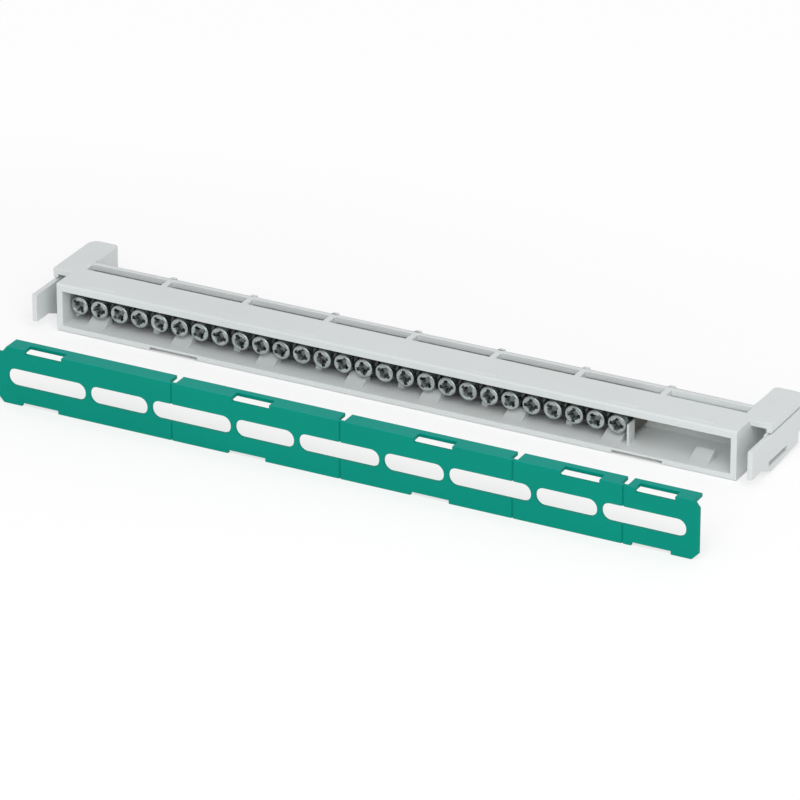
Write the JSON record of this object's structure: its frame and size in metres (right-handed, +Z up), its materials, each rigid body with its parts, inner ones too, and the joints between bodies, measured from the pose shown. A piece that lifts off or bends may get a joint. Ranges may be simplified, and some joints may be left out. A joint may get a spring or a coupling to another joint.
{
  "type": "earth terminal block",
  "caption": "Clip-in earth terminal block: a light grey tray with sprung latches, a plated brass bar with a row of clamping screws, and a green windowed cover strip taken off.",
  "frame": {"origin": "middle of the tray's underside", "axes": "+X along the tray to the spare places, +Y from the open front to the back, +Z up"},
  "size_m": [0.2466, 0.0851, 0.0186],
  "materials": {
    "grey_plastic": "fine moulded texture, light grey",
    "plated_brass": "dulled nickel plate on drawn brass, bare at the sawn ends",
    "plated_steel": "clear zinc plating",
    "green_plastic": "satin moulded plastic, blue-green"
  },
  "bodies": {
    "root": {"tray": "grey_plastic", "earth_bar": "plated_brass", "terminal_screws": "plated_steel", "cover_strip": "green_plastic"}
  },
  "joints": []
}
